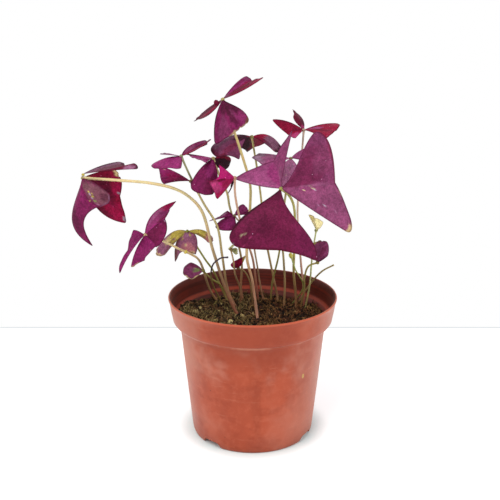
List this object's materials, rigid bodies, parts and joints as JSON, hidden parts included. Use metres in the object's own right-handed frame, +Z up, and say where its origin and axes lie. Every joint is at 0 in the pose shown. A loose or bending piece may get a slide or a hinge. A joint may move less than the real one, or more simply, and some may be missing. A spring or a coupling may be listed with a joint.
{
  "type": "potted plant",
  "caption": "Purple shamrock with folded, butterfly-like leaflets on slender stalks, growing in a terracotta-coloured plastic nursery pot filled with compost.",
  "frame": {"origin": "middle of the pot's underside, on the surface it stands on", "axes": "+Z up, +X to the right and -Y to the front, as the plant is seen from its front"},
  "size_m": [0.166, 0.105, 0.2244],
  "materials": {
    "pot_plastic": "semi-matt moulded plastic with faint mottling and dust",
    "compost": "rough, damp, fibrous compost",
    "stalk": "satin, tan above and reddish brown near the soil",
    "green_stalk": "satin, olive green",
    "dry_stalk": "dull, dry brown",
    "dark_stalk": "dull, dried and nearly black",
    "blade_purple": "soft satin leaf, lighter triangle in the middle, crimson underside",
    "blade_maroon": "soft satin leaf, dark maroon",
    "blade_crimson": "soft satin leaf, glowing crimson underside",
    "blade_lilac": "soft satin leaf, pinkish lilac in the light",
    "blade_yellow_green": "wilted leaf, yellow green with mauve tips",
    "blade_yellow": "withered leaf, pale yellow"
  },
  "bodies": {
    "root": {"pot": "pot_plastic", "soil": "compost", "stalk_broad": "stalk", "leaf_broad": "blade_purple", "stalk_lilac": "stalk", "leaf_lilac": "blade_lilac", "stalk_crimson": "stalk", "leaf_crimson": "blade_crimson", "stalk_tall": "stalk", "leaf_tall": "blade_purple", "stalk_drooping": "stalk", "leaf_drooping": "blade_lilac", "stalk_curled": "stalk", "leaf_curled": "blade_crimson", "stalk_high_left": "stalk", "leaf_high_left": "blade_purple", "stalk_tucked": "stalk", "leaf_tucked": "blade_purple", "stalk_middle": "stalk", "leaf_middle": "blade_purple", "stalk_arching": "stalk", "leaf_arching": "blade_purple", "stalk_low_left": "stalk", "leaf_low_left": "blade_maroon", "stalk_wilted": "stalk", "leaf_wilted": "blade_yellow_green", "stalk_rim": "stalk", "leaf_rim": "blade_purple", "stalk_shaded": "stalk", "leaf_shaded": "blade_maroon", "stalk_right": "stalk", "leaf_right": "blade_purple", "stalk_folded": "stalk", "leaf_folded": "blade_maroon", "stalk_withered": "stalk", "leaf_withered": "blade_yellow", "stalk_sprout": "stalk", "leaf_sprout": "blade_crimson", "stalk_bare": "green_stalk", "stalk_broken": "dry_stalk", "stalk_budded": "green_stalk", "stalk_dried": "dark_stalk"}
  },
  "joints": []
}
